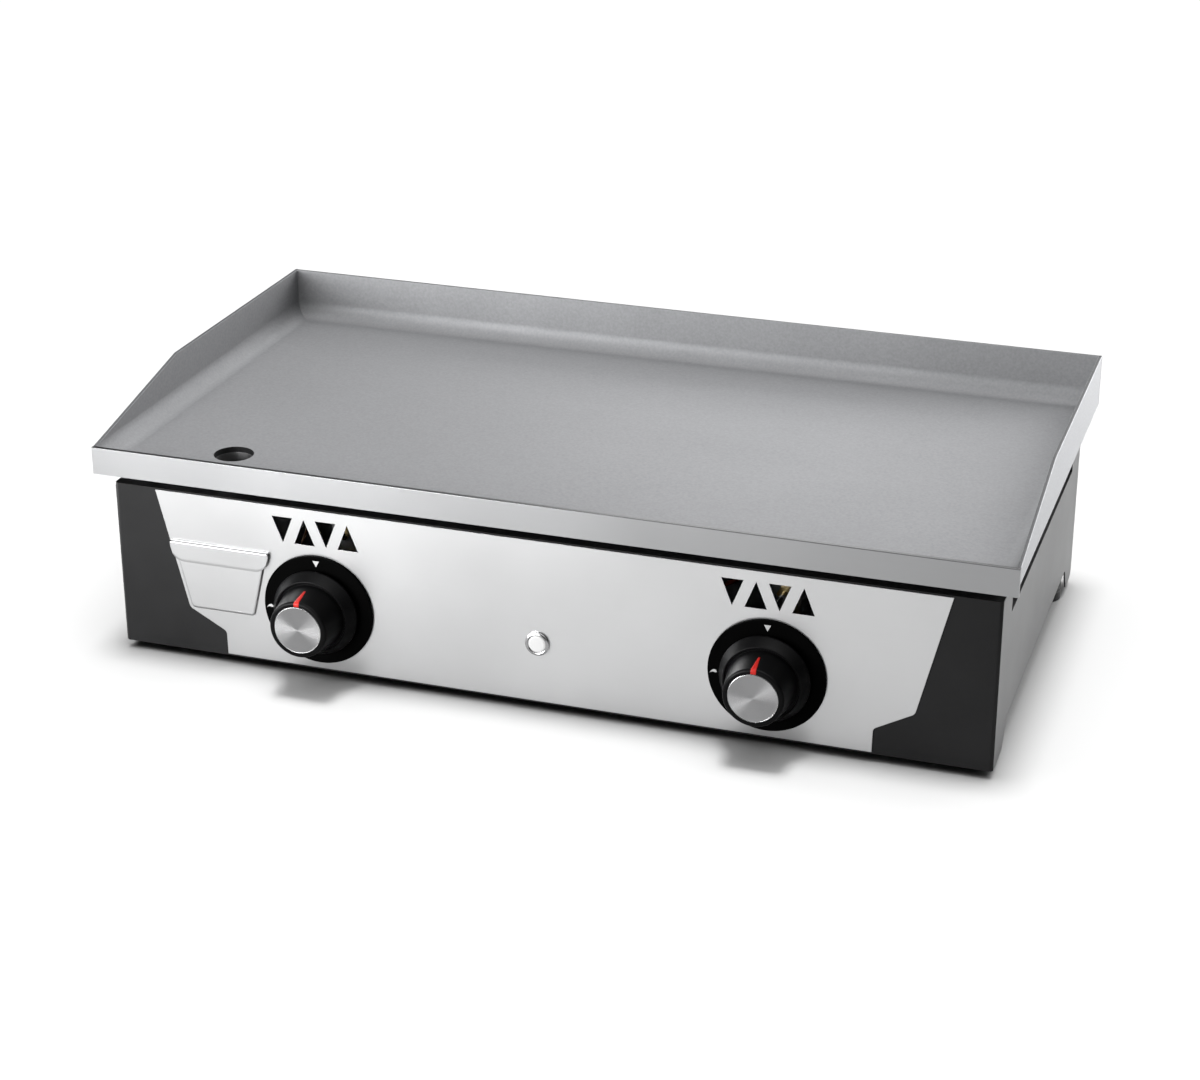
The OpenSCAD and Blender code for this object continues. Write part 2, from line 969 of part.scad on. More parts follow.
// The pipe from the gas rail's right end round a bend to the rear inlet
module supply_pipe() {
  bend = 26;
  start = supply_x - 30;
  end_y = case_back - 16;
  color([0.72, 0.55, 0.3]) {
    difference() {
      rod_x(rail_r + 1.5, start, start + 4, rail_y, knob_h);
      rod_x(supply_r - wall, start - bite, start + 5, rail_y, knob_h);
    }
    translate([supply_x - bend, rail_y + bend, knob_h])
      rotate([0, 0, -90])
        rotate_extrude(angle = 90)
          translate([bend, 0])
            difference() {
              circle(r = supply_r);
              circle(r = supply_r - wall);
            }
    difference() {
      rod_y(supply_r, rail_y + bend, end_y, supply_x, knob_h);
      rod_y(supply_r - wall, rail_y + bend - bite, end_y + bite, supply_x, knob_h);
    }
  }
}

// Threaded rear inlet with its inside shoulder and outside lock nut
module gas_inlet() {
  bore_r = 6.5;
  inside = case_back - 16;
  nut_y = case_back + rear_panel_t;
  color([0.8, 0.68, 0.35])
    difference() {
      union() {
        translate([supply_x, inside, knob_h])
          rotate([-90, 0, 0]) cylinder(h = 16, r = 15, $fn = 6);
        rod_y(inlet_r, case_back - bite, inlet_end, supply_x, knob_h);
        translate([supply_x, nut_y, knob_h])
          rotate([-90, 0, 0]) cylinder(h = 6, r = 15, $fn = 6);
      }
      rod_y(bore_r, inside - bite, inlet_end + bite, supply_x, knob_h);
    }
}

// Bent tube from the tap's outlet up and back to the injector
module feed_pipe(side) {
  bend = 12;
  outlet_y = tap_y + 24;
  foot_z = knob_h + 14;
  color([0.8, 0.8, 0.82])
    translate([side * knob_x, 0, 0]) {
      rod_z(feed_r, foot_z, burner_z - bend, 0, outlet_y);
      translate([0, outlet_y + bend, burner_z - bend])
        rotate([90, 0, -90])
          rotate_extrude(angle = 90) translate([bend, 0]) circle(r = feed_r);
      rod_y(feed_r, outlet_y + bend, injector_y, 0, burner_z);
    }
}

module injector(side) {
  x = side * knob_x;
  color([0.82, 0.66, 0.3])
    difference() {
      union() {
        translate([x, injector_y, burner_z])
          rotate([-90, 0, 0]) cylinder(h = 7, r = 7, $fn = 6);
        rod_y(5, injector_y + 6, injector_y + 17, x, burner_z);
      }
      rod_y(0.8, injector_y + 4, injector_y + 18, x, burner_z);
      rod_y(3, injector_y - bite, injector_y + 5, x, burner_z);
    }
}

// Angle straps that carry the injectors in front of the burner mouths
module injector_brackets() {
  half = 12;
  low = burner_z - 22;
  front = injector_y + 7;
  color([0.65, 0.65, 0.66])
    for (side = [-1, 1]) {
      x = side * knob_x;
      difference() {
        union() {
          block([x - half, front, low], [x + half, front + wall, burner_z + 9]);
          block([x - half, front, low], [x + half, shield_y, low + wall]);
          block([x - half, shield_y - wall, low - 14], [x + half, shield_y, low + wall]);
        }
        rod_y(5 + run_gap, front - bite, front + 2 * bite, x, burner_z);
      }
    }
}

// A tube burner: bell mouth, neck, cone, ported barrel and a spigot at its end
module burner(side) {
  mouth_y = front_y + 86;
  mouth_r = 17;
  neck_y = shield_y - 8;
  cone_y = shield_y + 20;
  barrel_y = cone_y + 18;
  port_count = 15;
  port_w = 1.6;
  port_pitch = (burner_end - barrel_y - 24) / (port_count - 1);
  x = side * knob_x;
  color([0.62, 0.62, 0.63]) {
    difference() {
      turned(x, burner_z)
        polygon([
          [mouth_r, mouth_y],
          [neck_r, neck_y],
          [neck_r, cone_y],
          [burner_r, barrel_y],
          [burner_r, burner_end],
          [0, burner_end],
          [0, burner_end - wall],
          [burner_r - wall, burner_end - wall],
          [burner_r - wall, barrel_y + 0.4],
          [neck_r - wall, cone_y + 0.4],
          [neck_r - wall, neck_y],
          [mouth_r - wall, mouth_y]
        ]);
      for (lean = [-40, 40])
        for (i = [0:port_count - 1])
          translate([x, barrel_y + 12 + i * port_pitch, burner_z])
            rotate([0, lean, 0])
              translate([-5, -port_w / 2, burner_r - 2 * wall - 1])
                cube([10, port_w, 4 * wall]);
    }
    rod_y(pin_r, burner_end, burner_end + 12, x, burner_z);
  }
}

module burner_brackets() {
  half = 14;
  y = burner_end + 4;
  color([0.6, 0.6, 0.61])
    for (side = [-1, 1]) {
      x = side * knob_x;
      difference() {
        union() {
          block([x - half, y, tray_top], [x + half, y + sheet_t, burner_z + 12]);
          block([x - half, y, tray_top], [x + half, y + 20, tray_top + sheet_t]);
        }
        rod_y(pin_r + run_gap, y - bite, y + 3, x, burner_z);
      }
    }
}

module electrodes() {
  for (side = [-1, 1]) {
    x = side * (knob_x - electrode_dx);
    color([0.92, 0.9, 0.85])
      rod_y(3.6, shield_y - 8, shield_y + 32, x, electrode_z);
    color([0.5, 0.5, 0.5])
      rod_y(0.9, shield_y + 31, shield_y + 52, x, electrode_z);
  }
}

module thermocouples() {
  head_x = knob_x + 38;
  color([0.75, 0.5, 0.3])
    for (side = [-1, 1]) {
      x = knob_x + probe_dx;
      rod_y(2.6, shield_y - 16, shield_y + 48, side * x, electrode_z);
      tube([
        [side * x, shield_y - 16, electrode_z],
        [side * x, shield_y - 20, electrode_z],
        [side * (x + 12), shield_y - 30, electrode_z - 8],
        [side * (x + 15), tap_y + 34, knob_h + 20],
        [side * (x + 15), tap_y + 24, knob_h],
        [side * (head_x + 0.2), tap_y + 24, knob_h]
      ], 1.2);
    }
}

module ignition_leads() {
  post_y = rail_y - rail_r - 11;
  color([0.7, 0.12, 0.1])
    for (side = [-1, 1])
      tube([
        [side * 4, post_y, igniter_h + 15],
        [side * 4, post_y, igniter_h + 19],
        [side * 9, post_y + 3, igniter_h + 27],
        [side * 40, post_y + 14, igniter_h + 36],
        [side * (knob_x - 60), shield_y - 30, electrode_z - 16],
        [side * (knob_x - electrode_dx), shield_y - 18, electrode_z],
        [side * (knob_x - electrode_dx), shield_y - 8, electrode_z]
      ], 1.8);
}

// -------------------------------------------------------------- grease drawer

// Outline of the drawer's face, narrower at its foot
function face_outline(inset = 0) =
  let (
    half_top = face_w / 2 - inset,
    half_low = half_top - face_taper * face_h,
    low = face_top - face_h + inset
  )
  rounded([
    [drawer_x - half_low, low, 3],
    [drawer_x + half_low, low, 3],
    [drawer_x + half_top, face_top - inset, 0],
    [drawer_x - half_top, face_top - inset, 0]
  ]);

// The face box and the pull lip folded forward over its top edge
module drawer_front() {
  lip_y = fascia_y - lip_out;
  back = fascia_y - 0.3;
  lip_half = lip_w / 2;
  low = lip_top_h - lip_h;
  color([0.83, 0.83, 0.84]) {
    difference() {
      sheet_xz(fascia_y - face_out, face_out - 0.3) polygon(face_outline());
      sheet_xz(fascia_y - face_out + wall, face_out) polygon(face_outline(wall));
    }
    block(
      [drawer_x - lip_half, lip_y, lip_top_h - lip_t],
      [drawer_x + lip_half, back, lip_top_h]
    );
    sheet_xz(lip_y, lip_t)
      polygon(rounded([
        [drawer_x - lip_half, low, 8],
        [drawer_x + lip_half, low, 8],
        [drawer_x + lip_half, lip_top_h, 0],
        [drawer_x - lip_half, lip_top_h, 0]
      ]));
    block(
      [drawer_x - face_w / 2 + 6, back - wall, face_top - 4],
      [drawer_x + face_w / 2 - 6, back, lip_top_h - lip_t + 0.2]
    );
  }
}

// The folded bin behind the face
module grease_bin() {
  half_top = face_w / 2 - bin_gap;
  slant = face_taper * (bin_top - bin_floor);
  front = fascia_y - 0.3;
  back = bin_front + bin_d;
  color([0.74, 0.74, 0.75])
    difference() {
      sheet_xz(front, back - front)
        translate([drawer_x, 0])
          polygon([
            [slant - half_top, bin_floor],
            [half_top - slant, bin_floor],
            [half_top, bin_top],
            [-half_top, bin_top]
          ]);
      sheet_xz(front + wall, back - front - 2 * wall)
        translate([drawer_x, 0])
          polygon([
            [slant + wall - half_top, bin_floor + wall],
            [half_top - wall - slant, bin_floor + wall],
            [half_top - wall, bin_top + bite],
            [wall - half_top, bin_top + bite]
          ]);
    }
}

// Folded channel on the casing floor that carries the bin
module drawer_cradle() {
  half = face_w / 2 - bin_gap - face_taper * (bin_top - bin_floor);
  floor_z = bin_floor - 0.3;
  front = panel_back + 2;
  back = front + bin_d + 2;
  foot_w = 12;
  color([0.62, 0.62, 0.63])
    difference() {
      union() {
        block(
          [drawer_x - half, front, tray_top],
          [drawer_x + half, back, floor_z]
        );
        block(
          [drawer_x - half - foot_w, front, tray_top],
          [drawer_x + half + foot_w, back, tray_top + wall]
        );
      }
      block(
        [drawer_x - half + wall, front - bite, tray_top - bite],
        [drawer_x + half - wall, back + bite, floor_z - wall]
      );
    }
}

// ----------------------------------------------------------------- selection

griddle_plate();
splash_guard();
front_apron();
drain_cup();
plate_standoffs();
plate_stiffeners();
front_panel();
front_fascia();
side_panel(-1);  // side_panel_left
side_panel(1);  // side_panel_right
rear_panel();
rear_screws();
base_tray();
heat_shield();
foot(-foot_x, foot_y[0]);  // foot_front_left
foot(foot_x, foot_y[0]);  // foot_front_right
foot(-foot_x, foot_y[1]);  // foot_rear_left
foot(foot_x, foot_y[1]);  // foot_rear_right
foot_screws();
foot_nuts();
bezel(-1);  // bezel_left
bezel(1);  // bezel_right
tap_body(-1);  // tap_body_left
tap_body(1);  // tap_body_right
tap_plug(-1);  // tap_plug_left
tap_plug(1);  // tap_plug_right
tap_spring(-1);  // tap_spring_left
tap_spring(1);  // tap_spring_right
tap_spindle(-1);  // tap_spindle_left
tap_spindle(1);  // tap_spindle_right
knob(-1);  // knob_left
knob(1);  // knob_right
knob_cap(-1);  // knob_cap_left
knob_cap(1);  // knob_cap_right
knob_pointer(-1);  // knob_pointer_left
knob_pointer(1);  // knob_pointer_right
gas_manifold();
supply_pipe();
gas_inlet();
feed_pipe(-1);  // feed_pipe_left
feed_pipe(1);  // feed_pipe_right
injector(-1);  // injector_left
injector(1);  // injector_right
injector_brackets();
burner(-1);  // burner_left
burner(1);  // burner_right
burner_brackets();
electrodes();
thermocouples();
ignition_leads();
igniter_bezel();
igniter_nut();
igniter_body();
igniter_button();
igniter_spring();
grease_bin();
drawer_front();
drawer_cradle();
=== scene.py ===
"""Looks for the countertop griddle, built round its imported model, in metres in its frame."""

import json
import math

import bmesh
import bpy
from mathutils import Euler, Matrix, Vector

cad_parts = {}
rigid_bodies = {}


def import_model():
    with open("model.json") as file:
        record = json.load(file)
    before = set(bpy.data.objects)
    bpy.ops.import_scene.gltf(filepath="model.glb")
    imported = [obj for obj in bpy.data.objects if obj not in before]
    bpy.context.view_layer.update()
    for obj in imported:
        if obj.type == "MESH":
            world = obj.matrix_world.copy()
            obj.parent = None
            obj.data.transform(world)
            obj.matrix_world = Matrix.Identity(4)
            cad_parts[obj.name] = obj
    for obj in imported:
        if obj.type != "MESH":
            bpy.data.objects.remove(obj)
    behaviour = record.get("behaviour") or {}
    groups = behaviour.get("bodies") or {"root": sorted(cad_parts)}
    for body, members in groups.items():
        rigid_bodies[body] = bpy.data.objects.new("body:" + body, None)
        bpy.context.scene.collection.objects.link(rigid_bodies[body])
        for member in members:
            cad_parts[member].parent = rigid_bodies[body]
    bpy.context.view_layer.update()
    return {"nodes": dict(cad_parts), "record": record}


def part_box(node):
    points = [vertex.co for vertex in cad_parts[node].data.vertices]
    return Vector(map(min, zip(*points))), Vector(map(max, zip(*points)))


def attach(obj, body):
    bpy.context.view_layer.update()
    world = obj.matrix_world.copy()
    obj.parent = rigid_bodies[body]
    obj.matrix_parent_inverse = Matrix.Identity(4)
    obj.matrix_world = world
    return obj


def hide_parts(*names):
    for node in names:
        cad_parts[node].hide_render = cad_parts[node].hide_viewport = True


MM = 0.001
SIDES = {"left": -1, "right": 1}

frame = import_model()
nodes = frame["nodes"]

# ------------------------------------------------------------------ places taken from the frame

guard_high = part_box("splash_guard")[1]
apron_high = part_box("front_apron")[1]
FASCIA_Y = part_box("front_fascia")[0].y
bezel_low, bezel_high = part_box("bezel_right")
knob_low, knob_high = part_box("knob_right")
cap_low, cap_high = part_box("knob_cap_right")
ring_low, ring_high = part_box("igniter_bezel")
button_low, button_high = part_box("igniter_button")
cup_low, cup_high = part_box("drain_cup")
drawer_low, drawer_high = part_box("drawer_front")

KNOB_X = (knob_low.x + knob_high.x) / 2
KNOB_Z = (knob_low.z + knob_high.z) / 2
IGNITER_Z = (ring_low.z + ring_high.z) / 2
DRAWER_X = (drawer_low.x + drawer_high.x) / 2
DRAIN = (cup_low + cup_high) / 2
CUP_WALL = 2 * MM
DRAIN_R = (cup_high.x - cup_low.x) / 2 - CUP_WALL
LIP_PAST_FACE = 2.4 * MM
FACE_HALF = (drawer_high.x - drawer_low.x) / 2 - LIP_PAST_FACE


# ------------------------------------------------------------------ camera, floor and light


# The solved view: sensor and lens in millimetres, the lens shift, and angles in degrees
SENSOR, LENS = 36, 76.83
LENS_SHIFT = (-0.0422, -0.0421)
CAMERA_PLACE = (0.6605, -2.0030, 1.0088)
AZIMUTH, ELEVATION, ROLL = 17.27, 22.70, 0.46


def make_camera():
    """The view of the photograph: a long lens, from the front right and above."""
    data = bpy.data.cameras.new("camera")
    data.sensor_width = SENSOR
    data.lens = LENS
    data.shift_x, data.shift_y = LENS_SHIFT
    camera = bpy.data.objects.new("camera", data)
    camera.location = CAMERA_PLACE
    tilt = Euler((math.radians(90 - ELEVATION), 0, math.radians(AZIMUTH)))
    roll = Matrix.Rotation(math.radians(ROLL), 4, "Z")
    camera.rotation_euler = (tilt.to_matrix().to_4x4() @ roll).to_euler()
    bpy.context.scene.collection.objects.link(camera)
    bpy.context.scene.camera = camera


FLOOR_HALF = 9.0


def make_floor(paint):
    half = FLOOR_HALF
    mesh = bpy.data.meshes.new("floor")
    corners = [(-half, -half, 0), (half, -half, 0), (half, half, 0), (-half, half, 0)]
    mesh.from_pydata(corners, [], [(0, 1, 2, 3)])
    floor = bpy.data.objects.new("floor", mesh)
    floor.data.materials.append(paint)
    bpy.context.scene.collection.objects.link(floor)


# Soft patches of sky: azimuth from the front towards the right, elevation, sharpness, strength
DIM_SKY = 0.012
SKY = (
    (72, 56, 12, 2.4),
    (144, 56, 12, 0.5),
    (30, 76, 16, 2.3),
    (150, 76, 16, 8.6),
    (270, 76, 16, 2.1),
)

# Softboxes: place, the point each faces, width, watts, and what each lights
SOFTBOXES = {
    "overhead_left": ((-0.9, -0.8, 1.1), (-0.9, -0.8, 0.0), 0.6, 7.4, "all"),
    "side_left": ((-2.14, -0.38, 0.44), (0, 0, 0.1), 1.0, 14.6, "object"),
    "front": ((-0.74, -2.04, 0.44), (0, 0, 0.1), 1.0, 29.8, "object"),
    "front_left": ((-1.66, -1.4, 0.44), (0, 0, 0.1), 1.0, 44.5, "object"),
    "right_rear": ((1.66, 1.4, 0.44), (0, 0, 0.1), 1.0, 23.8, "object"),
    "rear": ((-0.32, 1.84, 1.27), (0, 0, 0.1), 1.1, 5.2, "object"),
    "left": ((-1.2, -0.7, 0.25), (0, -0.2, 0.1), 0.4, 3.0, "object"),
    "left_high": ((-0.9, -0.9, 0.5), (0, -0.2, 0.1), 0.5, 5.6, "object"),
    "left_front": ((-0.5, -0.9, 0.3), (-0.3, -0.2, 0.1), 0.4, 12.0, "object"),
    "right_high": ((0.9, 0.7, 0.6), (0.4, 0.2, 0.1), 0.5, 11.1, "object"),
    "rear_low": ((-0.1, 0.9, 0.45), (-0.1, 0.2, 0.15), 0.5, 3.3, "object"),
}


# The floor's own overhead light: its strength, and its width in degrees
FLOOR_WASH, FLOOR_WASH_WIDTH = 4.8, 14


def softbox(name, place, target, size, power, lights):
    data = bpy.data.lights.new(name, "AREA")
    data.shape = "SQUARE"
    data.size = size
    data.energy = power
    lamp = bpy.data.objects.new(name, data)
    lamp.location = place
    aim = Vector(target) - Vector(place)
    lamp.rotation_euler = aim.to_track_quat("-Z", "Y").to_euler()
    lamp.visible_camera = False
    bpy.context.scene.collection.objects.link(lamp)
    if lights != "all":
        lamp.light_linking.receiver_collection = lit_by(lights)


def lit_by(lights):
    """A group of the floor alone, or of every mesh but the floor."""
    group = bpy.data.collections.get("lit_" + lights)
    if group is None:
        group = bpy.data.collections.new("lit_" + lights)
        for item in bpy.context.scene.objects:
            if item.type == "MESH" and (item.name == "floor") == (lights == "floor"):
                group.objects.link(item)
    return group


def make_world():
    """A dark studio with soft patches of light in its sky."""
    world = bpy.data.worlds.new("studio")
    bpy.context.scene.world = world
    world.use_nodes = True
    tree = world.node_tree

    def maths(operation, a, b=0.0):
        node = tree.nodes.new("ShaderNodeMath")
        node.operation = operation
        for socket, value in zip(node.inputs, (a, b)):
            if isinstance(value, bpy.types.NodeSocket):
                tree.links.new(value, socket)
            else:
                socket.default_value = value
        return node.outputs[0]

    direction = tree.nodes.new("ShaderNodeTexCoord").outputs["Generated"]
    total = DIM_SKY
    for azimuth, elevation, sharpness, strength in SKY:
        around, up = math.radians(azimuth), math.radians(elevation)
        towards = tree.nodes.new("ShaderNodeVectorMath")
        towards.operation = "DOT_PRODUCT"
        towards.inputs[1].default_value = (
            math.sin(around) * math.cos(up), -math.cos(around) * math.cos(up), math.sin(up),
        )
        tree.links.new(direction, towards.inputs[0])
        falling = maths("MULTIPLY", maths("SUBTRACT", towards.outputs["Value"], 1.0), sharpness)
        total = maths("ADD", total, maths("MULTIPLY", maths("EXPONENT", falling), strength))
    tree.links.new(total, tree.nodes["Background"].inputs["Color"])


def floor_wash():
    """An even overhead light on the floor alone, which keeps it pale right up to the object."""
    data = bpy.data.lights.new("floor_wash", "SUN")
    data.energy = FLOOR_WASH
    data.angle = math.radians(FLOOR_WASH_WIDTH)
    lamp = bpy.data.objects.new("floor_wash", data)
    bpy.context.scene.collection.objects.link(lamp)
    lamp.light_linking.receiver_collection = lit_by("floor")


def make_studio():
    bpy.context.scene.view_settings.view_transform = "Standard"
    make_world()
    make_floor(PAINTS["floor"])
    for name, values in SOFTBOXES.items():
        softbox(name, *values)
    floor_wash()


# ------------------------------------------------------------------ materials


class Paint:
    """A material and short calls that add nodes to it."""

    def __init__(self, name):
        self.material = bpy.data.materials.new(name)
        self.material.use_nodes = True
        self.tree = self.material.node_tree
        self.shader = self.tree.nodes["Principled BSDF"]
        self.place = self.tree.nodes.new("ShaderNodeTexCoord").outputs["Object"]

    def wire(self, socket, value):
        if isinstance(value, bpy.types.NodeSocket):
            self.tree.links.new(value, socket)
        else:
            socket.default_value = value

    def add(self, kind, out=0, settings=(), **values):
        """A node of that kind, with its settings and input values, and one of its outputs."""
        node = self.tree.nodes.new("ShaderNode" + kind)
        for key, value in dict(settings).items():
            setattr(node, key, value)
        for key, value in values.items():
            self.wire(node.inputs[key.replace("_", " ")], value)
        return node.outputs[out]

    def maths(self, operation, a, b=0.0):
        node = self.tree.nodes.new("ShaderNodeMath")
        node.operation = operation
        self.wire(node.inputs[0], a)
        self.wire(node.inputs[1], b)
        return node.outputs[0]

    def scaled(self, vector, scale):
        return self.add("VectorMath", 0, {"operation": "SCALE"}, Vector=vector, Scale=scale)

    def axis(self, name):
        """The X, Y or Z of the place on the object."""
        return self.add("SeparateXYZ", "XYZ".index(name), Vector=self.place)

    def noise(self, scale, detail=3.0, roughness=0.5, stretch=(1, 1, 1), shift=(0, 0, 0)):
        """Noise, scale cells to the metre, stretched along an axis where its factor is small."""
        spread = self.add("Mapping", Vector=self.place, Scale=stretch, Location=shift)
        return self.add(
            "TexNoise", Vector=spread, Scale=scale, Detail=detail, Roughness=roughness
        )

    def span(self, value, low, high, start=0.0, stop=1.0):
        """value from start to stop, spread from low to high."""
        node = self.tree.nodes.new("ShaderNodeMapRange")
        self.wire(node.inputs["Value"], value)
        node.inputs["From Min"].default_value = start
        node.inputs["From Max"].default_value = stop
        node.inputs["To Min"].default_value = low
        node.inputs["To Max"].default_value = high
        return node.outputs["Result"]

    def mix_of(self, one, share_one, two, share_two):
        return self.maths(
            "ADD", self.maths("MULTIPLY", one, share_one), self.maths("MULTIPLY", two, share_two)
        )

    def vary(self, noise, low, high):
        """Noise, which mostly runs from 0.3 to 0.7, spread from low to high."""
        return self.span(noise, low, high, 0.3, 0.7)

    def between(self, factor, dark, light):
        """A colour between two, by a factor."""
        node = self.tree.nodes.new("ShaderNodeMix")
        node.data_type = "RGBA"
        self.wire(node.inputs["Factor"], factor)
        node.inputs["A"].default_value = (*dark, 1)
        node.inputs["B"].default_value = (*light, 1)
        return node.outputs["Result"]

    def bump(self, height, strength, depth, under=None):
        values = {"Height": height, "Strength": strength, "Distance": depth}
        if under is not None:
            values["Normal"] = under
        return self.add("Bump", **values)

    def finish(self, **values):
        for key, value in values.items():
            self.wire(self.shader.inputs[key.replace("_", " ")], value)
        return self.material


def shades(colour, spread):
    """The same colour a little darker and a little lighter."""
    return [c * (1 - spread) for c in colour], [c * (1 + spread) for c in colour]


def floor_paint():
    """Pale matt paint with a faint broad mottle."""
    paint = Paint("floor_paint")
    mottle = paint.vary(paint.noise(0.6), 0.30, 0.315)
    colour = paint.add("CombineColor", Red=mottle, Green=mottle, Blue=mottle)
    return paint.finish(Base_Color=colour, Roughness=0.85, Specular_IOR_Level=0.15)


GROUND_TONE = (0.19, 0.192, 0.197)
# Painted shade: the walls' cut top edges are darkened to this share of the ground tone.
TOP_EDGE_SHADE = 0.45  # of the ground tone, on the walls' cut top edges
# Painted light: the walls' outer faces are lightened by this factor over the cut tone.
OUTSIDE_LIGHT = 3.7  # of the cut tone, on the walls' outer faces
# Painted shade: the wall of the drain hole is darkened to this share of the ground tone.
DRAIN_SHADE = 0.1  # of the ground tone, inside the drain hole


def ground_steel():
    """The cooking top: ground, with a fine grain; painted shade on the walls' cut top edges and
    inside the drain hole, and painted light on the walls' outer faces.
    """
    paint = Paint("ground_steel")
    grain = paint.noise(1500, 2.0, 0.6)
    speck = paint.noise(420, 2.0, 0.5)
    cloud = paint.noise(7, 3.0, 0.55, (1, 1.6, 1))
    tone = paint.mix_of(grain, 0.35, speck, 0.65)
    ground = paint.between(paint.vary(tone, 0, 1), *shades(GROUND_TONE, 0.1))
    # Painted shade inside the drain hole.
    drain = paint.add(
        "Mapping", Vector=paint.place, Location=(-DRAIN.x, -DRAIN.y, 0), Scale=(1, 1, 0)
    )
    away = paint.add("VectorMath", 1, {"operation": "LENGTH"}, Vector=drain)
    kept = paint.span(away, DRAIN_SHADE, 1.0, DRAIN_R + 0.02 * MM, DRAIN_R + 0.5 * MM)
    sideways = paint.maths("ABSOLUTE", paint.axis("X"))
    # Painted shade on the walls' cut top edges, and painted light on their outer faces.
    for reach, edge in ((sideways, guard_high.x), (paint.axis("Y"), guard_high.y)):
        cut = paint.span(reach, 1.0, TOP_EDGE_SHADE, edge - 2.9 * MM, edge - 2.6 * MM)
        outside = paint.span(reach, 1.0, OUTSIDE_LIGHT, edge - 0.7 * MM, edge - 0.2 * MM)
        kept = paint.maths("MULTIPLY", kept, paint.maths("MULTIPLY", cut, outside))
    rough = paint.maths("ADD", paint.vary(cloud, 0.67, 0.72), paint.vary(grain, -0.03, 0.03))
    normal = paint.bump(grain, 0.22, 0.00012, paint.bump(speck, 0.16, 0.0003))
    return paint.finish(
        Base_Color=paint.scaled(ground, kept), Metallic=1.0, Roughness=rough, Normal=normal
    )


def brushed(name, colour, along, roughness=0.3, strength=0.08, spread=0.05, rim=None):
    """Fine brushed sheet, its grain along one axis, with soft smudges.

    rim is a height and a share: above that height the tone falls to that share, a painted shade.
    """
    paint = Paint(name)
    fine_stretch = [1.0, 1.0, 1.0]
    fine_stretch["xyz".index(along)] = 0.008
    fine = paint.noise(2600, 2.0, 0.6, fine_stretch)
    hair = paint.noise(700, 2.0, 0.5, fine_stretch, (3, 5, 7))
    smudge = paint.noise(9, 3.0, 0.5)
    tone = paint.mix_of(fine, 0.5, hair, 0.5)
    shade = paint.between(paint.vary(tone, 0, 1), *shades(colour, spread))
    rough = paint.maths(
        "ADD",
        paint.vary(smudge, roughness - 0.02, roughness + 0.02),
        paint.vary(fine, -spread / 2, spread / 2),
    )
    if rim:
        height, share = rim
        # Painted shade: the tone falls above the rim height.
        rim_shade = paint.span(paint.axis("Z"), 1.0, share, height, height + 0.4 * MM)
        shade = paint.scaled(shade, rim_shade)
    normal = paint.bump(tone, strength, 0.0001)
    return paint.finish(Base_Color=shade, Metallic=1.0, Roughness=rough, Normal=normal)


def moulded(name, colour, roughness, grain=900, strength=0.05, gloss=0.5, spread=0.12):
    """Painted or moulded surface with a fine skin texture and a slight change of tone."""
    paint = Paint(name)
    skin = paint.noise(grain, 3.0, 0.55)
    tone = paint.noise(14, 3.0, 0.5)
    shade = paint.between(paint.span(tone, 0, 1, 0.35, 0.65), *shades(colour, spread))
    rough = paint.maths(
        "ADD",
        paint.vary(tone, roughness - 0.03, roughness + 0.03),
        paint.vary(skin, -0.04, 0.04),
    )
    normal = paint.bump(skin, strength, 0.0002)
    return paint.finish(
        Base_Color=shade, Roughness=rough, Normal=normal, Specular_IOR_Level=gloss
    )


def spun_aluminium():
    """A turned face: fine rings about the knob's own axis, and a highlight that fans out."""
    paint = Paint("spun_aluminium")
    flat = paint.add("Mapping", Vector=paint.place, Scale=(1, 0, 1))
    radius = paint.add("VectorMath", 1, {"operation": "LENGTH"}, Vector=flat)
    ring_place = paint.add("CombineXYZ", X=radius)
    rings = paint.add("TexNoise", Vector=ring_place, Scale=5200.0, Detail=2.0)
    shade = paint.between(
        paint.vary(rings, 0, 1), (0.205, 0.205, 0.207), (0.262, 0.262, 0.265)
    )
    rough = paint.vary(rings, 0.20, 0.28)
    normal = paint.bump(rings, 0.10, 0.00008)
    tangent = paint.add("Tangent", 0, {"direction_type": "RADIAL", "axis": "Y"})
    return paint.finish(
        Base_Color=shade, Metallic=1.0, Roughness=rough, Normal=normal,
        Tangent=tangent, Anisotropic=0.92,
    )


def turned_metal(name, colour, roughness):
    """Cast, drawn or turned metal of the inner parts, with a light grain and tarnish."""
    paint = Paint(name)
    grain = paint.noise(1800, 3.0, 0.6)
    tarnish = paint.noise(45, 4.0, 0.6)
    shade = paint.between(paint.span(tarnish, 0, 1, 0.35, 0.65), *shades(colour, 0.14))
    rough = paint.maths(
        "ADD",
        paint.vary(tarnish, roughness + 0.06, roughness - 0.04),
        paint.vary(grain, -0.03, 0.03),
    )
    return paint.finish(
        Base_Color=shade, Metallic=1.0, Roughness=rough, Normal=paint.bump(grain, 0.1, 0.0001)
    )


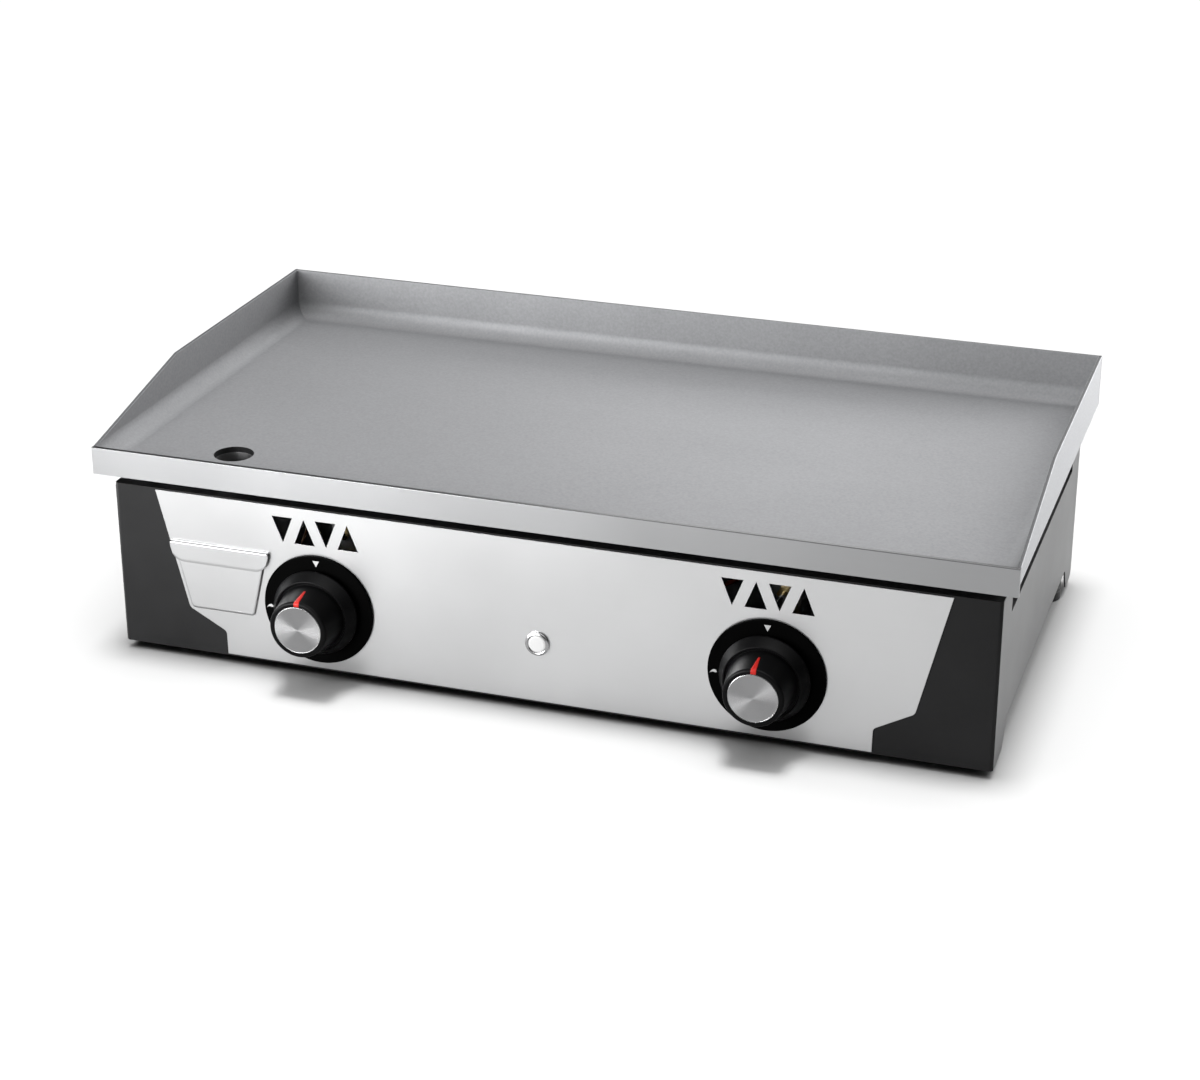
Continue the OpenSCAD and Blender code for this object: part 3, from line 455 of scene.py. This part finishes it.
PAINTS = {
    "floor": floor_paint(),
    "ground_steel": ground_steel(),
    "stainless": brushed("stainless", (0.447, 0.449, 0.452), "x", 0.3, 0.0015, 0.005),
    # Painted shade: the drawer lip's top bend is darkened to 0.35 of the tone.
    "drawer_steel": brushed(
        "drawer_steel", (0.437, 0.439, 0.442), "x", 0.3, 0.0015, 0.005,
        (drawer_high.z - 1.9 * MM, 0.35),
    ),
    # Painted shade: the apron's stainless is set about half as bright as the fascia's to offset
    # the brighter light on it, and its top edge is darkened to 0.3 of that.
    "apron_steel": brushed(
        "apron_steel", (0.235, 0.237, 0.24), "x", 0.36, 0.003, 0.008,
        (apron_high.z - 0.9 * MM, 0.3),
    ),
    # Painted shade: the side panels' stainless is set far darker than the fascia's to stand in for
    # the shade on them.
    "shaded_side_stainless": brushed("shaded_side_stainless", (0.077, 0.078, 0.079), "y", 0.36, 0.006, 0.012),
    # Painted shade: the drain cup's steel is set very dark to stand in for the shade inside it.
    "drain_steel": brushed("drain_steel", (0.085, 0.085, 0.086), "x", 0.5),
    "plain_steel": brushed("plain_steel", (0.6, 0.6, 0.61), "x", 0.36),
    "black_enamel": moulded("black_enamel", (0.0042, 0.0042, 0.0044), 0.38, 1100, 0.06, 0.13),
    "black_plastic": moulded("black_plastic", (0.0013, 0.0013, 0.0014), 0.32, 1400, 0.04, 0.04),
    "bezel_black": moulded("bezel_black", (0.0005, 0.0005, 0.0005), 0.5, 1400, 0.05, 0.006),
    "black_rubber": moulded("black_rubber", (0.012, 0.012, 0.012), 0.72, 700, 0.2, 0.3),
    "white_plastic": moulded("white_plastic", (0.27, 0.27, 0.27), 0.4, 900, 0.02, 0.25, 0.02),
    "white_ceramic": moulded("white_ceramic", (0.82, 0.8, 0.74), 0.25, 500, 0.03, 0.5, 0.04),
    "white_print": moulded("white_print", (0.2, 0.2, 0.2), 0.5, 1600, 0.05, 0.3, 0.04),
    "red_paint": moulded("red_paint", (0.2, 0.006, 0.004), 0.35, 1400, 0.05, 0.12, 0.06),
    "lead_cover": moulded("lead_cover", (0.42, 0.05, 0.03), 0.55, 900, 0.06, 0.3, 0.08),
    "spun_aluminium": spun_aluminium(),
    "chrome": turned_metal("chrome", (0.3, 0.3, 0.303), 0.2),
    "brass": turned_metal("brass", (0.72, 0.55, 0.26), 0.3),
    "copper": turned_metal("copper", (0.2, 0.105, 0.065), 0.4),
    "zinc_steel": turned_metal("zinc_steel", (0.58, 0.59, 0.62), 0.38),
    "spring_steel": turned_metal("spring_steel", (0.55, 0.55, 0.57), 0.3),
}


# ------------------------------------------------------------------ mesh helpers


def fillet(points, steps=6):
    """An open profile whose points each carry a corner radius, with its corners rounded."""
    out = []
    for i, (x, y, radius) in enumerate(points):
        here = Vector((x, y))
        if radius == 0 or i in (0, len(points) - 1):
            out.append(here)
            continue
        back = (Vector(points[i - 1][:2]) - here).normalized()
        on = (Vector(points[i + 1][:2]) - here).normalized()
        half = back.angle(on) / 2
        middle = here + (back + on).normalized() * radius / math.sin(half)
        start = here + back * radius / math.tan(half) - middle
        stop = here + on * radius / math.tan(half) - middle
        turn = start.angle_signed(stop)
        for k in range(steps + 1):
            out.append(middle + Matrix.Rotation(-turn * k / steps, 2) @ start)
    return out


SHARP = math.radians(35)


def made_mesh(name, shape):
    """A mesh from a bmesh, with its faces turned outwards."""
    bmesh.ops.recalc_face_normals(shape, faces=shape.faces)
    mesh = bpy.data.meshes.new(name)
    shape.to_mesh(mesh)
    shape.free()
    return mesh


def piece(name, mesh_data, paint, body, replaced=()):
    """Links a mesh as a piece of the object that rides on a body."""
    mesh_data.materials.append(PAINTS[paint])
    mesh_data.shade_smooth()
    mesh_data.set_sharp_from_angle(angle=SHARP)
    made = bpy.data.objects.new(name, mesh_data)
    bpy.context.scene.collection.objects.link(made)
    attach(made, body)
    if replaced:
        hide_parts(*replaced)
    return made


def even_out(made):
    """Lets the flat faces of a piece keep flat shading right up to its rounded edges."""
    weighted = made.modifiers.new("shading", "WEIGHTED_NORMAL")
    weighted.keep_sharp = True
    return made


def turn(name, profile, x, z, paint, body, slot, replaced, segments=144):
    """A profile of (radius, y) points turned about an axis along Y through (x, z)."""
    shape = bmesh.new()
    rings = []
    for radius, y in profile:
        if radius < 1e-7:
            rings.append([shape.verts.new((0, y, 0))])
            continue
        ring = []
        for k in range(segments):
            angle = 2 * math.pi * k / segments
            ring.append(shape.verts.new((radius * math.cos(angle), y, radius * math.sin(angle))))
        rings.append(ring)
    for one, two in zip(rings, rings[1:]):
        for k in range(segments):
            n = k + 1
            corners = one[k % len(one)], one[n % len(one)], two[n % len(two)], two[k % len(two)]
            shape.faces.new(list(dict.fromkeys(corners)))
    made = even_out(piece(name, made_mesh(name, shape), paint, body, replaced))
    made.location = (x, 0, z)
    return made


def slab(name, outline, y, thickness, paint, body, x, z):
    """An outline of (x, z) points given thickness along Y."""
    shape = bmesh.new()
    front = [shape.verts.new((x + p[0], y, z + p[1])) for p in outline]
    back = [shape.verts.new((x + p[0], y + thickness, z + p[1])) for p in outline]
    shape.faces.new(front)
    shape.faces.new(back[::-1])
    for k in range(len(outline)):
        n = (k + 1) % len(outline)
        shape.faces.new((front[n], front[k], back[k], back[n]))
    return piece(name, made_mesh(name, shape), paint, body)


def skin(name, rows, paint, body, slot, replaced, thickness):
    """A sheet through rows of points, thickened towards its back."""
    shape = bmesh.new()
    grid = [[shape.verts.new(p) for p in row] for row in rows]
    for one, two in zip(grid, grid[1:]):
        for k in range(len(one) - 1):
            shape.faces.new((one[k], one[k + 1], two[k + 1], two[k]))
    made = piece(name, made_mesh(name, shape), paint, body, replaced)
    solid = made.modifiers.new("sheet", "SOLIDIFY")
    solid.thickness = thickness
    solid.offset = -1
    return even_out(made)


# ------------------------------------------------------------------ the controls


# The knob from its front to its skirt's face, the seat of its cap, and the bend of its nose
GRIP_LENGTH = 26.7 * MM
CAP_SEAT = 1.8 * MM
NOSE_FRONT = 0.2 * MM
NOSE_BEND = 2.6 * MM


def make_knob(side):
    """Skirt, groove, tapering grip and a seat for the cap, with every edge eased."""
    front = knob_low.y
    back = knob_high.y
    skirt = (knob_high.x - knob_low.x) / 2
    cap = (cap_high.x - cap_low.x) / 2
    face = front + GRIP_LENGTH
    grip = skirt - 9.1 * MM
    nose = cap + 4 * MM
    spindle = 4 * MM
    profile = fillet([
        (0, front + CAP_SEAT, 0),
        (cap + 0.1 * MM, front + CAP_SEAT, 0),
        (cap + 0.1 * MM, front + NOSE_FRONT, 0),
        (nose, front + NOSE_FRONT, NOSE_BEND),
        (grip, face + 0.4 * MM, 0.3 * MM),
        (grip + 0.2 * MM, face + 1.6 * MM, 0.2 * MM),
        (grip + 1.8 * MM, face + 1.6 * MM, 0.2 * MM),
        (grip + 2.0 * MM, face, 0.6 * MM),
        (skirt - 5.6 * MM, face, 0.9 * MM),
        (skirt, back - 2.0 * MM, 0.9 * MM),
        (skirt, back, 0.5 * MM),
        (skirt - 2.2 * MM, back, 0),
        (skirt - 8.2 * MM, face + 3.2 * MM, 0),
        (grip - 2.2 * MM, face + 3.2 * MM, 0),
        (nose - 3.2 * MM, front + 6 * MM, 0),
        (8 * MM, front + 6 * MM, 0),
        (8 * MM, back, 0),
        (spindle, back, 0),
        (spindle, front + 9 * MM, 0),
        (0, front + 9 * MM, 0),
    ])
    turn(
        "knob_moulding_" + side, profile, SIDES[side] * KNOB_X, KNOB_Z,
        "black_plastic", side + "_knob", "black_plastic", ["knob_" + side],
    )
    make_cap(side, cap, front)
    make_pointer(side, cap, front, face, grip, nose)


def make_cap(side, radius, front):
    """The thin metal disc on the knob's front, with a bright turned rim."""
    profile = fillet([
        (0, front + 0.12 * MM, 0),
        (radius - 0.9 * MM, front + 0.12 * MM, 0.2 * MM),
        (radius - 0.75 * MM, front + 0.02 * MM, 0.1 * MM),
        (radius, front + 0.6 * MM, 0.3 * MM),
        (radius, front + 1.75 * MM, 0),
        (0, front + 1.75 * MM, 0),
    ])
    turn(
        "cap_spinning_" + side, profile, SIDES[side] * KNOB_X, KNOB_Z,
        "spun_aluminium", side + "_knob", "spun_aluminium", ["knob_cap_" + side],
    )


# The pointer's length, and its half width at the front and how much of that it loses
POINTER_LENGTH = 18.4 * MM
POINTER_HALF = 2.35 * MM
POINTER_TAPER = 1.55 * MM


def make_pointer(side, cap, front, face, grip, nose):
    """A tapered red inlay from the cap's rim over the nose and up the grip."""
    stations = 26
    across = 8
    end = nose + (grip - nose) * (POINTER_LENGTH / (face - front))
    edge = fillet([
        (cap + 0.3 * MM, front + NOSE_FRONT, 0),
        (nose, front + NOSE_FRONT, NOSE_BEND),
        (end, front + POINTER_LENGTH, 0),
    ])
    spots = edge[:-1]
    spots += [spots[-1].lerp(edge[-1], (k + 1) / stations) for k in range(stations)]
    rows = []
    for i, (out, y) in enumerate(spots):
        run = (spots[min(i + 1, len(spots) - 1)] - spots[max(i - 1, 0)]).normalized()
        half = POINTER_HALF - POINTER_TAPER * (y - front) / POINTER_LENGTH
        row = []
        for k in range(across + 1):
            share = 2 * k / across - 1
            rise = (0.17 * math.sqrt(1 - 0.92 * share * share) - 0.02) * MM
            radius = out + run.y * rise
            angle = share * half / out
            row.append((radius * math.sin(angle), y - run.x * rise, radius * math.cos(angle)))
        rows.append(row)
    made = skin(
        "pointer_" + side, rows, "red_paint", side + "_knob", "red_paint",
        ["knob_pointer_" + side], 0.3 * MM,
    )
    made.location = (SIDES[side] * KNOB_X, 0, KNOB_Z)


# The discs' hole and prints: the off mark's top and the flame's middle, from the knob's axis
BEZEL_HOLE = 10 * MM
PRINT = 0.1 * MM
OFF_MARK = {"top": 45.9 * MM, "half": 3.0 * MM, "height": 5.6 * MM}
FLAME_MARK = (-44.2 * MM, -2.2 * MM)


def make_bezel(side):
    """The black disc behind a knob, with its printed marks."""
    radius = (bezel_high.x - bezel_low.x) / 2
    x = SIDES[side] * KNOB_X
    profile = fillet([
        (BEZEL_HOLE, bezel_high.y, 0),
        (BEZEL_HOLE, bezel_low.y, 0.3 * MM),
        (radius, bezel_low.y, 0.7 * MM),
        (radius, bezel_high.y, 0),
        (BEZEL_HOLE, bezel_high.y, 0),
    ])
    turn(
        "bezel_disc_" + side, profile, x, KNOB_Z,
        "bezel_black", "casing", "black_plastic", ["bezel_" + side], 192,
    )
    print_y = bezel_low.y - 0.06 * MM
    top, half = OFF_MARK["top"], OFF_MARK["half"]
    arrow = [(-half, top), (half, top), (0, top - OFF_MARK["height"])]
    slab(
        "off_mark_" + side, arrow, print_y, PRINT,
        "white_print", "casing", x, KNOB_Z,
    )
    slab(
        "flame_mark_" + side, flame_outline(6.6 * MM, 2.6 * MM), print_y, PRINT,
        "white_print", "casing", x + FLAME_MARK[0], KNOB_Z + FLAME_MARK[1],
    )


def flame_outline(long, wide, count=28):
    """A plain drop lying on its side, with its tip leaning over."""
    points = []
    for k in range(count):
        angle = 2 * math.pi * k / count
        out = (1 + math.cos(angle)) / 2
        rise = wide * math.sin(angle) * math.sin(angle / 2) ** 2 * 0.75
        lean = 0.7 * wide * (0.35 - out) ** 2 * 4
        points.append((long * (0.35 - out), rise - lean + 0.2 * wide))
    return points


RING_HOLE = 7.88 * MM
RING_NECK = 9 * MM
BUTTON_STEM = 2.5 * MM


def make_igniter():
    """A polished ring and a slightly domed white button."""
    base = (ring_high.x - ring_low.x) / 2
    hole = RING_HOLE
    front = ring_low.y
    profile = fillet([
        (hole, ring_high.y, 0),
        (hole, front + 0.5 * MM, 0.3 * MM),
        (hole + 0.9 * MM, front, 0.8 * MM),
        (base, front + 0.9 * MM, 1.1 * MM),
        (base, FASCIA_Y, 0),
        (RING_NECK, FASCIA_Y, 0),
        (RING_NECK, ring_high.y, 0),
        (hole, ring_high.y, 0),
    ])
    turn("igniter_ring", profile, 0, IGNITER_Z, "chrome", "casing", "chrome", ["igniter_bezel"])
    radius = (button_high.x - button_low.x) / 2
    dome = ring_low.y + 0.35 * MM
    back = FASCIA_Y + 4 * MM
    profile = fillet([
        (0, dome, 0),
        (radius - 1.2 * MM, dome + 0.12 * MM, 3 * MM),
        (radius, dome + 0.7 * MM, 0.5 * MM),
        (radius, back, 0),
        (BUTTON_STEM, back, 0),
        (BUTTON_STEM, button_high.y, 0),
        (0, button_high.y, 0),
    ])
    turn(
        "igniter_push", profile, 0, IGNITER_Z,
        "white_plastic", "push_button", "white_plastic", ["igniter_button"],
    )


# ------------------------------------------------------------------ the grease drawer

# The pressed face: how far it stands out, its edge's radius, and how much each side leans in
FACE_OUT = 2.2 * MM
FACE_EDGE = 1.9 * MM
FACE_TAPER = 0.235
# The pull lip: its bend over the top, its drop, and the radius of its lower corners
LIP_BEND = 1.8 * MM
LIP_DROP = 18.2 * MM
LIP_CORNER = 13 * MM


def face_ring(inset, y):
    """The face's outline at some inset from its widest, as points in order."""
    top = drawer_high.z - 3 * MM
    low = drawer_low.z + inset
    half_top = FACE_HALF - inset
    half_low = FACE_HALF - FACE_TAPER * (top - drawer_low.z) - inset
    rim = fillet([
        (half_top, top, 0),
        (half_low, low, max(4 * MM - inset, 1 * MM)),
        (-half_low, low, max(4 * MM - inset, 1 * MM)),
        (-half_top, top, 0),
    ], 8)
    return [(DRAWER_X + p.x, y, p.y) for p in rim]


def make_face():
    """The drawer's pressed face, with a soft edge."""
    steps = 8
    rows = [face_ring(0, FASCIA_Y - 0.3 * MM)]
    for k in range(steps + 1):
        angle = math.pi / 2 * k / steps
        inset = FACE_EDGE * (1 - math.cos(angle))
        y = FASCIA_Y - (FACE_OUT - FACE_EDGE) - FACE_EDGE * math.sin(angle)
        rows.append(face_ring(inset, y))
    rows.append(face_ring(FACE_EDGE + 0.5 * MM, rows[-1][0][1]))
    rows.append([(DRAWER_X, p[1], p[2]) for p in rows[-1]])
    skin(
        "drawer_face", rows, "drawer_steel", "grease_drawer", "stainless",
        ["drawer_front"], 0.8 * MM,
    )


def make_lip():
    """The folded lip: a bend over the face's top edge, then a drop with round lower corners."""
    half = (drawer_high.x - drawer_low.x) / 2
    top = drawer_high.z
    front = drawer_low.y
    bend = LIP_BEND
    columns = 48
    rows = []
    for i in range(columns + 1):
        x = -half + 2 * half * i / columns
        into = max(0.0, abs(x) - (half - LIP_CORNER))
        reach = LIP_DROP - (LIP_CORNER - math.sqrt(max(0.0, LIP_CORNER**2 - into**2)))
        row = [(DRAWER_X + x, FASCIA_Y - 0.35 * MM, top)]
        for k in range(9):
            angle = math.pi / 2 * k / 8
            row.append((
                DRAWER_X + x,
                front + bend * (1 - math.sin(angle)),
                top - bend * (1 - math.cos(angle)),
            ))
        for k in range(1, 7):
            row.append((DRAWER_X + x, front, top - bend - (reach - bend) * k / 6))
        rows.append(row)
    skin("drawer_lip", rows, "drawer_steel", "grease_drawer", "stainless", (), 1.0 * MM)


# ------------------------------------------------------------------ feet


FOOT_RECESS = 7 * MM
FOOT_HOLE = 3.05 * MM


def make_foot(name):
    """A moulded rubber foot with a rounded sole edge and two shallow grooves."""
    low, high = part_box(name)
    radius = (high.x - low.x) / 2
    tall = high.z
    groove = 0.7 * MM
    profile = [(FOOT_RECESS, 0, 0), (radius - 0.4 * MM, 0, 1.6 * MM)]
    for share in (0.3, 0.42):
        at = share * tall
        edge = radius - 1.5 * MM * share
        profile += [
            (edge, at - groove, 0.3 * MM),
            (edge - groove, at, 0.3 * MM),
            (edge, at + groove, 0.3 * MM),
        ]
    profile += [(radius - 1.5 * MM, tall, 0.5 * MM), (FOOT_HOLE, tall, 0)]
    profile += [(FOOT_HOLE, 10 * MM, 0), (FOOT_RECESS, 10 * MM, 0), (FOOT_RECESS, 0, 0)]
    made = turn(
        name + "_moulding", fillet(profile), 0, 0,
        "black_rubber", "casing", "black_rubber", [name], 72,
    )
    made.rotation_euler = (math.pi / 2, 0, 0)
    made.location = ((low.x + high.x) / 2, (low.y + high.y) / 2, 0)


# ------------------------------------------------------------------ finishes of the CAD nodes

FINISHES = {
    "side_panel_left": "shaded_side_stainless",
    "side_panel_right": "shaded_side_stainless",
    "splash_guard": "ground_steel",
    "front_apron": "apron_steel",
    "drain_cup": "drain_steel",
}
# Edge roundings in millimetres; a node that isn't listed keeps its own edges
BEVELS = {
    "splash_guard": 0.5, "front_apron": 0.35, "drain_cup": 0.3,
    "front_panel": 0.25, "front_fascia": 0.15, "side_panel_left": 0.25, "side_panel_right": 0.25,
    "rear_panel": 0.2, "base_tray": 0.2, "gas_inlet": 0.25, "rear_screws": 0.2,
    "drawer_cradle": 0.2, "grease_bin": 0.2, "plate_stiffeners": 0.4, "plate_standoffs": 0.4,
}


def finish_nodes():
    """Gives each node of the model its material, and eases the edges of its sheet."""
    slots = {part["node"]: part["material_slot"] for part in frame["record"]["subparts"]}
    for name, node in nodes.items():
        paint = FINISHES.get(name, slots[name])
        node.data.materials.clear()
        node.data.materials.append(PAINTS[paint])
        if name in BEVELS:
            weld = node.modifiers.new("weld", "WELD")
            weld.merge_threshold = 0.01 * MM
            bevel = node.modifiers.new("bevel", "BEVEL")
            bevel.width = BEVELS[name] * MM
            bevel.segments = 3
            bevel.limit_method = "ANGLE"
            bevel.angle_limit = math.radians(40)
            bevel.harden_normals = True


make_camera()
finish_nodes()
for side in SIDES:
    make_bezel(side)
    make_knob(side)
make_igniter()
make_face()
make_lip()
for corner in ("front_left", "front_right", "rear_left", "rear_right"):
    make_foot("foot_" + corner)
make_studio()

bpy.context.view_layer.update()
